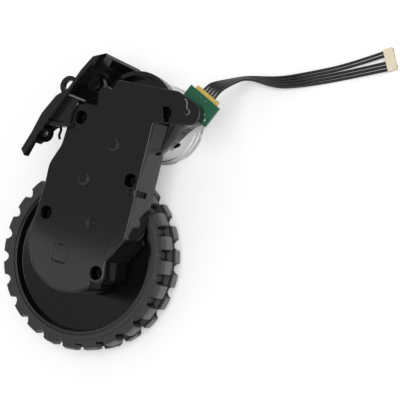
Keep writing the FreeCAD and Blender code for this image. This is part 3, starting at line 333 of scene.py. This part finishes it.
# Board, its connector and solder. A small green lacquered encoder board under the lobe of the cover,
# with a yellow nylon connector below its outer edge and small dull solder joints.
board_lacquer = moulded("board_lacquer", (0.010, 0.100, 0.046), roughness=0.3, scale=500, depth=0.05, wander=0.25)
connector_nylon = moulded("connector_nylon", (0.62, 0.45, 0.10), roughness=0.4, scale=1200, depth=0.1, wander=0.15)
dull_tin = moulded("dull_tin", (0.30, 0.36, 0.32), roughness=0.4, scale=2500, depth=0.05, wander=0.3, metallic=1.0)
dress("circuit_board", board_lacquer)


def about(x, y, centre):
    """Distance from a centre, in millimetres."""
    return math.hypot(x - centre[0], y - centre[1])


def scaled(vert, x, y, centre, factor):
    """Moves a point to factor times its distance from a centre in millimetres."""
    vert.co.x = (centre[0] + (x - centre[0]) * factor) / 1000
    vert.co.y = (centre[1] + (y - centre[1]) * factor) / 1000


# The connector's outer end is cut back, and two of the solder joints are drawn in.
CONNECTOR_TRIM = 0.0008
CONNECTOR_END = 0.0005
outward = Vector((0.447, 0.894, 0))
connector = merged("board_connector")
edge = max(vert.co @ outward for vert in connector.verts)
for vert in connector.verts:
    if vert.co @ outward > edge - CONNECTOR_END:
        vert.co -= outward * CONNECTOR_TRIM
softened(connector, "board_connector", "gear_case", connector_nylon, width=0.00015)

SMALL_JOINTS = ((36.88, 63.07), (39.19, 61.92))
JOINT_REACH = 0.9
JOINT_SCALE = 0.4
joints = merged("solder_joints")
for vert in joints.verts:
    x, y, z = vert.co * 1000
    for centre in SMALL_JOINTS:
        if about(x, y, centre) < JOINT_REACH:
            scaled(vert, x, y, centre, JOINT_SCALE)
softened(joints, "solder_joints", "gear_case", dull_tin, width=0.00004)

# Gear case. Two shells of black moulded plastic with a fine satin skin, screwed together from the
# cover's side. Every edge of the moulding is a little round.
case_plastic = moulded("case_plastic", (0.006, 0.006, 0.0066), roughness=0.10, scale=1400, depth=0.015, wander=0.08)

# Cover: a slot in its right side, cut deeper and longer, a snap recess by the lobe, made wider, and on its
# face two discs, made lower, and a ring and a square mark, made larger. All sizes are in millimetres.
SLOT_X = (19.9, 23.1)
SLOT_Y = (25.2, 27.5)
SLOT_FLOOR, DEEPER_FLOOR = 28.0, 24.2
SLOT_END, LONGER_END = 22.5, 21.4
SLOT_FOOT = 20.5
SNAP_RECESS = (28.0, 54.9)
SNAP_REACH = 3.6
SNAP_FLOOR = 26.5
SNAP_WIDENING = 0.25
DISCS = ((2.02, 27.17), (10.19, 40.92))
DISC_REACH = 2.6
DISC_SCALE = 0.82
DISC_TOP = 29.15
ABOVE_MARKS = 28.8
RING = (9.38, 12.96)
RING_RADIUS = 1.5
RING_SCALE = 1.35
SQUARE_REACH = 2.9
SQUARE_SCALE = 1.2
MARK_FLOOR = 28.7
cover = merged("gear_case_cover")
for vert in cover.verts:
    x, y, z = vert.co * 1000
    in_slot = SLOT_Y[0] < y < SLOT_Y[1]
    if in_slot and SLOT_X[0] < x < SLOT_X[1] and abs(z - SLOT_FLOOR) < 0.2:
        vert.co.z = DEEPER_FLOOR / 1000
    elif in_slot and abs(x - SLOT_END) < 0.2 and z > SLOT_FOOT:
        vert.co.x = LONGER_END / 1000
    elif about(x, y, SNAP_RECESS) < SNAP_REACH and z > SNAP_FLOOR:
        vert.co.x += (x - SNAP_RECESS[0]) * SNAP_WIDENING / 1000
    for centre in DISCS:
        if z > ABOVE_MARKS and about(x, y, centre) < DISC_REACH:
            scaled(vert, x, y, centre, DISC_SCALE)
            vert.co.z = DISC_TOP / 1000
    on_mark = abs(z - MARK_FLOOR) < 0.1
    if on_mark and abs(about(x, y, RING) - RING_RADIUS) < 0.1:
        scaled(vert, x, y, RING, RING_SCALE)
    elif on_mark and max(abs(x), abs(y)) < SQUARE_REACH:
        scaled(vert, x, y, (0, 0), SQUARE_SCALE)
softened(cover, "gear_case_cover", "gear_case", case_plastic, width=0.00010)

# Housing: its stepped skirt beside the motor is pressed flat against the wall, to make room for the
# curved one below, and its foot beside the wheel has painted shade: a duller, darker black material.
SKIRT_WALL = 23.6
SKIRT_Y = (41.0, 53.2)
SKIRT_Z = (16.9, 23.1)
PRESSED = 0.05
SHADED_RIGHT_OF_X = 12
SHADED_BELOW_Y = 3
SHADED_BELOW_Z = 20.5
# Near-black matt material that paints shade on the housing's foot beside the wheel.
case_painted_shade = moulded("case_painted_shade", (0.002, 0.002, 0.0022), roughness=0.5, scale=1400, depth=0.015, wander=0.08,
                      specular=0.08)
housing = merged("gear_case_housing")
for vert in housing.verts:
    x, y, z = vert.co * 1000
    if x > SKIRT_WALL - 0.05 and SKIRT_Y[0] < y < SKIRT_Y[1] and SKIRT_Z[0] < z < SKIRT_Z[1]:
        vert.co.x = (SKIRT_WALL + (x - SKIRT_WALL) * PRESSED) / 1000
base = softened(housing, "gear_case_housing", "gear_case", case_plastic, width=0.00012)
# The faces of the foot beside the wheel take the painted-shade material.
base.data.materials.append(case_painted_shade)
for face in base.data.polygons:
    x, y, z = face.center * 1000
    if x > SHADED_RIGHT_OF_X and y < SHADED_BELOW_Y and z < SHADED_BELOW_Z:
        face.material_index = 1

# Skirt: one curved wall from the cover's edge down to the motor, moulded with the housing. Its edges and
# the bulge half way down are in millimetres.
SKIRT_TOP = [(23.6, 40.9, 20.5), (25.7, 42.6, 23.2), (26.3, 46.5, 23.4), (26.6, 50.6, 23.5), (28.0, 51.9, 25.2),
             (32.3, 52.9, 25.3), (36.2, 55.0, 25.2)]
SKIRT_FOOT = [(24.1, 41.5, 17.5), (26.2, 44.1, 17.0), (27.9, 46.5, 16.2), (29.5, 48.8, 15.8), (30.3, 50.9, 14.5),
              (30.6, 52.8, 12.0), (30.7, 54.6, 9.0)]
SKIRT_BULGE = Vector((0.3, -0.3, 1.0))
form = bmesh.new()
middle = [(Vector(top) + Vector(foot)) / 2 + SKIRT_BULGE for top, foot in zip(SKIRT_TOP, SKIRT_FOOT)]
rows = [[form.verts.new(Vector(point) / 1000) for point in line] for line in (SKIRT_TOP, middle, SKIRT_FOOT)]
for row, below in zip(rows, rows[1:]):
    edges = []
    for line in (row, below):
        for pair in zip(line, line[1:]):
            edges.append(form.edges.get(pair) or form.edges.new(pair))
    bmesh.ops.bridge_loops(form, edges=edges)
bmesh.ops.recalc_face_normals(form, faces=form.faces)
if sum(face.normal.z for face in form.faces) < 0:
    bmesh.ops.reverse_faces(form, faces=form.faces)
skirt_mesh = bpy.data.meshes.new("motor_skirt")
form.to_mesh(skirt_mesh)
form.free()
skirt_mesh.shade_smooth()
skirt_mesh.materials.append(case_plastic)
skirt = bpy.data.objects.new("motor_skirt", skirt_mesh)
bpy.context.collection.objects.link(skirt)
walled = skirt.modifiers.new("wall", "SOLIDIFY")
walled.thickness = 0.0006
walled.offset = -1
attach(skirt, "gear_case")

# Raised mark on the lobe: a short stem that ends in a ring, moulded with the cover, and pale grey as a
# painted highlight.
MARK_HEIGHT = 0.0287
MARK_STEM = ((32.9, 61.0), (33.5, 60.9), (34.1, 59.9), (34.3, 58.7), (34.8, 57.7))
MARK_RING = (0.0349, 0.0569)
MARK_RING_RADIUS = 0.00078
# Pale grey material that paints the highlight along a thin raised edge.
painted_highlight_edge = moulded("painted_highlight_edge", (0.13, 0.13, 0.135), roughness=0.3, scale=900, depth=0.1, wander=0.2)
mark = round_line("lobe_mark", 0.00030, steps=2, material=painted_highlight_edge)
strand(mark, "POLY", [(x / 1000, y / 1000, MARK_HEIGHT) for x, y in MARK_STEM])
turns = [math.radians(turn) for turn in range(0, 360, 18)]
ring = strand(mark, "POLY", [(MARK_RING[0] + MARK_RING_RADIUS * math.cos(turn),
                              MARK_RING[1] + MARK_RING_RADIUS * math.sin(turn), MARK_HEIGHT) for turn in turns])
ring.use_cyclic_u = True
lobe_mark = bpy.data.objects.new("lobe_mark", mark)
bpy.context.collection.objects.link(lobe_mark)
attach(lobe_mark, "gear_case")

# Screws. Near-black steel screws deep in the cover's round holes, two more in front of the motor, and one
# in the middle of the wheel.
dark_screw = moulded("dark_screw", (0.022, 0.022, 0.023), roughness=0.45, scale=900, depth=0.1, wander=0.3,
                     metallic=1.0)
for node in ("housing_screws", "motor_screws", "wheel_screw"):
    dress(node, dark_screw)

# Gears, pins, shaft and bushes. White acetal gears on ground steel pins, and an output shaft that
# turns in two sintered bronze bushes.
gear_acetal = moulded("gear_acetal", (0.78, 0.77, 0.72), roughness=0.4, scale=1200, depth=0.05, wander=0.1)
ground_steel = moulded("ground_steel", (0.56, 0.56, 0.57), roughness=0.22, scale=1500, depth=0.05, wander=0.2,
                       metallic=1.0)
sintered_bronze = moulded("sintered_bronze", (0.55, 0.36, 0.17), roughness=0.45, scale=1800, depth=0.3, wander=0.3,
                          metallic=1.0)
for node in ("output_gear", "third_gear", "second_gear", "first_gear"):
    dress(node, gear_acetal)
for node in ("gear_pins", "output_shaft", "motor_shaft"):
    dress(node, ground_steel)
for node in ("front_bush", "rear_bush", "motor_pinion"):
    dress(node, sintered_bronze)


# Motor. A drawn steel can with bright plating and a stepped end bell. The oblong opening in the can's
# wall, 5 by 2.4 mm, is painted shade: black and matt in the can's material, over the narrow slot that
# the solid has there.
def painted_opening(material, middle, across, along, inward):
    """The material again, with painted shade: black and matt within reach 1 of a point, by three measures in parts
    per metre.
    """
    nodes = material.node_tree.nodes
    links = material.node_tree.links
    shader = nodes["Principled BSDF"]
    place = nodes.new("ShaderNodeTexCoord")
    offset = nodes.new("ShaderNodeVectorMath")
    offset.operation = "SUBTRACT"
    offset.inputs[1].default_value = middle
    links.new(place.outputs["Object"], offset.inputs[0])
    parts = nodes.new("ShaderNodeCombineXYZ")
    for name, vector in (("X", across), ("Y", along), ("Z", inward)):
        part = nodes.new("ShaderNodeVectorMath")
        part.operation = "DOT_PRODUCT"
        part.inputs[1].default_value = vector
        links.new(offset.outputs["Vector"], part.inputs[0])
        links.new(part.outputs["Value"], parts.inputs[name])
    reach = nodes.new("ShaderNodeVectorMath")
    reach.operation = "LENGTH"
    links.new(parts.outputs["Vector"], reach.inputs[0])
    painted_hole_mask = nodes.new("ShaderNodeMapRange")
    painted_hole_mask.inputs["From Min"].default_value = 1.06
    painted_hole_mask.inputs["From Max"].default_value = 0.94
    links.new(reach.outputs["Value"], painted_hole_mask.inputs["Value"])
    for socket, dark in (("Base Color", (0.004, 0.004, 0.004, 1)), ("Roughness", (0.8, 0.8, 0.8, 1))):
        source = shader.inputs[socket].links[0].from_socket
        blend = nodes.new("ShaderNodeMix")
        blend.data_type = "RGBA"
        blend.inputs["B"].default_value = dark
        links.new(painted_hole_mask.outputs["Result"], blend.inputs["Factor"])
        links.new(source, blend.inputs["A"])
        links.new(blend.outputs["Result"], shader.inputs[socket])
    return material


def plated(name):
    """Bright plating on drawn steel."""
    return moulded(name, (0.74, 0.74, 0.74), roughness=0.30, scale=800, depth=0.05, wander=0.10, metallic=1.0)


can_plate = plated("can_plate")
can_wall_painted_opening = painted_opening(plated("can_wall_painted_opening"), middle=(0.02663, 0.04586, 0.0140), across=(211.3, 337.1, -249.0),
                  along=(-366.9, -585.3, -402.0), inward=(211.8, -132.8, 0.0))
dress("motor_can", can_wall_painted_opening)
softened(merged("motor_end_bell"), "motor_end_bell", "gear_case", can_plate, width=0.00012)

# Wheel. A glossy black moulded wheel with a dished inboard side and ribs outboard. It sits on the output
# shaft and is held by a screw under a cap.
dish_plastic = moulded("dish_plastic", (0.004, 0.004, 0.0044), roughness=0.14, scale=1500, depth=0.015, wander=0.08)
softened(merged("wheel"), "wheel", "drive_wheel", dish_plastic, width=0.00015)
dress("hub_cap", dish_plastic)


# Tyre. Black rubber, moulded in one piece and stretched over the wheel's rim, with two rows of staggered
# blocks and a thin rib between them.
def painted_groove_shade(material, groove, crown, spread):
    """Painted shade by distance from the wheel's axis: black in the grooves, paler on the crowns of the blocks."""
    nodes = material.node_tree.nodes
    links = material.node_tree.links
    shader = nodes["Principled BSDF"]
    place = nodes.new("ShaderNodeTexCoord")
    flat = nodes.new("ShaderNodeVectorMath")
    flat.operation = "MULTIPLY"
    flat.inputs[1].default_value = (1, 1, 0)
    links.new(place.outputs["Object"], flat.inputs[0])
    reach = nodes.new("ShaderNodeVectorMath")
    reach.operation = "LENGTH"
    links.new(flat.outputs["Vector"], reach.inputs[0])
    shade_noise = nodes.new("ShaderNodeTexNoise")
    shade_noise.inputs["Scale"].default_value = 420
    shade_noise.inputs["Detail"].default_value = 5
    links.new(place.outputs["Object"], shade_noise.inputs["Vector"])
    jitter = nodes.new("ShaderNodeMath")
    jitter.operation = "MULTIPLY_ADD"
    jitter.inputs[1].default_value = spread
    links.new(shade_noise.outputs["Fac"], jitter.inputs[0])
    links.new(reach.outputs["Value"], jitter.inputs[2])
    groove_shade_ramp = nodes.new("ShaderNodeValToRGB")
    groove_shade_ramp.color_ramp.elements[0].position = 0.0
    groove_shade_ramp.color_ramp.elements[0].color = (0.0015, 0.0015, 0.0016, 1)
    groove_shade_ramp.color_ramp.elements[1].position = 1.0
    groove_shade_ramp.color_ramp.elements[1].color = (0.115, 0.116, 0.120, 1)
    half_groove_shade = groove_shade_ramp.color_ramp.elements.new(0.6)
    half_groove_shade.color = (0.012, 0.012, 0.013, 1)
    depth = nodes.new("ShaderNodeMapRange")
    depth.inputs["From Min"].default_value = groove
    depth.inputs["From Max"].default_value = crown
    links.new(jitter.outputs["Value"], depth.inputs["Value"])
    links.new(depth.outputs["Result"], groove_shade_ramp.inputs["Fac"])
    facing = nodes.new("ShaderNodeSeparateXYZ")
    links.new(place.outputs["Normal"], facing.inputs["Vector"])
    upright = nodes.new("ShaderNodeMath")
    upright.operation = "ABSOLUTE"
    links.new(facing.outputs["Z"], upright.inputs[0])
    flank = nodes.new("ShaderNodeMapRange")
    flank.interpolation_type = "SMOOTHSTEP"
    flank.inputs["From Min"].default_value = 0.3
    flank.inputs["From Max"].default_value = 0.8
    links.new(upright.outputs["Value"], flank.inputs["Value"])
    skin = nodes.new("ShaderNodeMix")
    skin.data_type = "RGBA"
    skin.inputs["B"].default_value = (0.026, 0.0265, 0.028, 1)
    links.new(flank.outputs["Result"], skin.inputs["Factor"])
    links.new(groove_shade_ramp.outputs["Color"], skin.inputs["A"])
    links.new(skin.outputs["Result"], shader.inputs["Base Color"])
    return material


rubber = moulded("tread_rubber_painted_shade", (0.013, 0.0135, 0.0145), roughness=0.42, scale=700, depth=0.1, wander=0.2)
# The rubber's colour paints shade in the grooves: black there, paler out on the crowns of the blocks.
tread_rubber_painted_shade = painted_groove_shade(rubber, groove=0.0320, crown=0.0342, spread=0.0008)
softened(merged("tyre"), "tyre", "drive_wheel", tread_rubber_painted_shade, width=0.00025)

# Suspension bracket. A black moulded bracket with a long rib, a screw ear and a panel, which swings on a
# steel pin at the gear case. Its up-facing end past the fold has painted deep shade, a near-black matt material.
bracket_plastic = moulded("bracket_plastic", (0.009, 0.009, 0.0098), roughness=0.22, scale=1400, depth=0.04,
                          wander=0.1)
# Near-black matt material that paints shade on the bracket's hidden parts.
bracket_painted_shade = moulded("bracket_painted_shade", (0.0008, 0.0008, 0.0009), roughness=0.6, scale=900, depth=0.05,
                         wander=0.1, specular=0.06)

# The solid's boss and hook are drawn into the rib, to make room for the finer ones below. The rib's inner
# edge starts at RIB_EDGE and leans by RIB_LEAN. All sizes are in millimetres.
RIB_EDGE = (-18.6, 36.6)
RIB_LEAN = 0.457
INTO_RIB = 0.5
BOSS_Y = (34.5, 43.2)
BOSS_RIGHT = -11.8
RIB_SHOULDER = 31.6
FOLD_PLACE = (-1.4, 68.0)
FOLD_NORMAL = (0.936, -0.351)
SHADED_ABOVE_Y = 60
bracket = merged("suspension_bracket")
for vert in bracket.verts:
    x, y, z = vert.co * 1000
    inner_edge = RIB_EDGE[0] + (y - RIB_EDGE[1]) * RIB_LEAN
    if BOSS_Y[0] < y < BOSS_Y[1] and inner_edge - 0.05 < x < BOSS_RIGHT and z < RIB_SHOULDER:
        vert.co.x = (inner_edge - INTO_RIB) / 1000
bmesh.ops.bisect_plane(bracket, geom=bracket.verts[:] + bracket.edges[:] + bracket.faces[:],
                       plane_co=(FOLD_PLACE[0] / 1000, FOLD_PLACE[1] / 1000, 0), plane_no=(*FOLD_NORMAL, 0))
arm = softened(bracket, "suspension_bracket", "suspension", bracket_plastic, width=0.00010,
               clamped=True)
# Up-facing faces past the fold take the painted-shade material.
arm.data.materials.append(bracket_painted_shade)
for face in arm.data.polygons:
    x, y, z = face.center * 1000
    past_fold = (x - FOLD_PLACE[0]) * FOLD_NORMAL[0] + (y - FOLD_PLACE[1]) * FOLD_NORMAL[1] > 0
    if past_fold and y > SHADED_ABOVE_Y and face.normal.z > 0.5:
        face.material_index = 1

# Boss of the bracket: a round turned form with a rim and a rounded middle, fused to the rib's inner
# side. All but the middle is in the painted-shade material. Radii and heights are in millimetres.
BOSS_PLACE = (-16.8, 39.6)
BOSS_MIDDLE = 1.3
BOSS_PROFILE = [(0.0, 30.7), (1.0, 30.65), (1.5, 30.3), (1.8, 30.3), (2.1, 31.2), (2.7, 31.3), (3.15, 30.9),
                (3.2, 29.4), (0.0, 29.4)]
form = bmesh.new()
points = [form.verts.new((x / 1000, 0, z / 1000)) for x, z in BOSS_PROFILE]
edges = [form.edges.new(pair) for pair in zip(points, points[1:])]
bmesh.ops.spin(form, geom=points + edges, cent=(0, 0, 0), axis=(0, 0, 1), dvec=(0, 0, 0), angle=math.tau, steps=40,
               use_merge=True, use_duplicate=False)
bmesh.ops.remove_doubles(form, verts=form.verts, dist=1e-6)
bmesh.ops.recalc_face_normals(form, faces=form.faces)
bmesh.ops.translate(form, vec=(BOSS_PLACE[0] / 1000, BOSS_PLACE[1] / 1000, 0), verts=form.verts)
for face in form.faces:
    x, y, z = face.calc_center_median() * 1000
    face.smooth = True
    face.material_index = 0 if about(x, y, BOSS_PLACE) < BOSS_MIDDLE else 1
boss_mesh = bpy.data.meshes.new("bracket_boss")
form.to_mesh(boss_mesh)
form.free()
boss_mesh.materials.append(bracket_plastic)
boss_mesh.materials.append(bracket_painted_shade)
boss = bpy.data.objects.new("bracket_boss", boss_mesh)
bpy.context.collection.objects.link(boss)
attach(boss, "suspension")

# Hook and panel edge of the bracket: a thin curved hook that hangs below the shelf, in the painted-shade
# material, and the upper edge of the panel, a pale line of painted highlight. Places are in millimetres.
HOOK_HEIGHT = 0.0293
HOOK = ((-11.99, 43.37), (-11.04, 42.28), (-11.18, 40.98), (-11.48, 39.84), (-10.74, 38.71))
hook_line = round_line("bracket_hook", 0.00045, steps=3, material=bracket_painted_shade)
strand(hook_line, "NURBS", [(x / 1000, y / 1000, HOOK_HEIGHT) for x, y in HOOK])
hook = bpy.data.objects.new("bracket_hook", hook_line)
bpy.context.collection.objects.link(hook)
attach(hook, "suspension")
PANEL_EDGE_HEIGHT = 0.0316
PANEL_EDGE = ((-10.03, 54.46), (-7.78, 54.20), (-5.38, 53.76), (-3.02, 53.47))
rib_line = round_line("bracket_rib", 0.00036, steps=3, material=painted_highlight_edge)
strand(rib_line, "POLY", [(x / 1000, y / 1000, PANEL_EDGE_HEIGHT) for x, y in PANEL_EDGE])
rib = bpy.data.objects.new("bracket_rib", rib_line)
bpy.context.collection.objects.link(rib)
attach(rib, "suspension")


# Inner walls of the bracket: a web behind the panel and the floor of the shelf's slot, both moulded with
# the bracket: dark sheets in the painted-shade material, which stand for the shade there.
def plate(name, outline, low, high):
    """A flat wall inside the bracket in the painted-shade material, drawn up from its outline in millimetres."""
    form = bmesh.new()
    sheet = form.faces.new([form.verts.new((x / 1000, y / 1000, low / 1000)) for x, y in outline])
    rise = bmesh.ops.extrude_face_region(form, geom=[sheet])
    bmesh.ops.translate(form, vec=(0, 0, (high - low) / 1000),
                        verts=[item for item in rise["geom"] if isinstance(item, bmesh.types.BMVert)])
    bmesh.ops.recalc_face_normals(form, faces=form.faces)
    plate_mesh = bpy.data.meshes.new(name)
    form.to_mesh(plate_mesh)
    form.free()
    plate_mesh.materials.append(bracket_painted_shade)
    wall = bpy.data.objects.new(name, plate_mesh)
    bpy.context.collection.objects.link(wall)
    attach(wall, "suspension")


plate("bracket_web", [(-10.6, 55.4), (-7.9, 53.4), (-7.2, 52.4), (-5.9, 52.6), (-4.4, 53.3), (-0.2, 53.1),
                      (-0.9, 57.6), (-7.4, 58.2), (-9.6, 57.2)], low=29.3, high=29.9)
plate("bracket_slot_floor", [(-16.6, 43.7), (-10.6, 44.1), (-7.8, 45.1), (-8.6, 45.7), (-16.0, 45.2)],
      low=28.0, high=29.3)

# Spring, pivot pin and clip. A coil spring of drawn steel wire round the pivot, on a blackened steel pin
# that a clip holds.
spring_steel = moulded("spring_steel", (0.32, 0.32, 0.33), roughness=0.3, scale=900, depth=0.1, wander=0.2,
                       metallic=1.0)
black_oxide = moulded("black_oxide", (0.045, 0.045, 0.048), roughness=0.25, scale=900, depth=0.1, wander=0.2,
                      metallic=1.0)
dress("suspension_spring", spring_steel)
dress("pivot_pin", black_oxide)
dress("pin_clip", black_oxide)
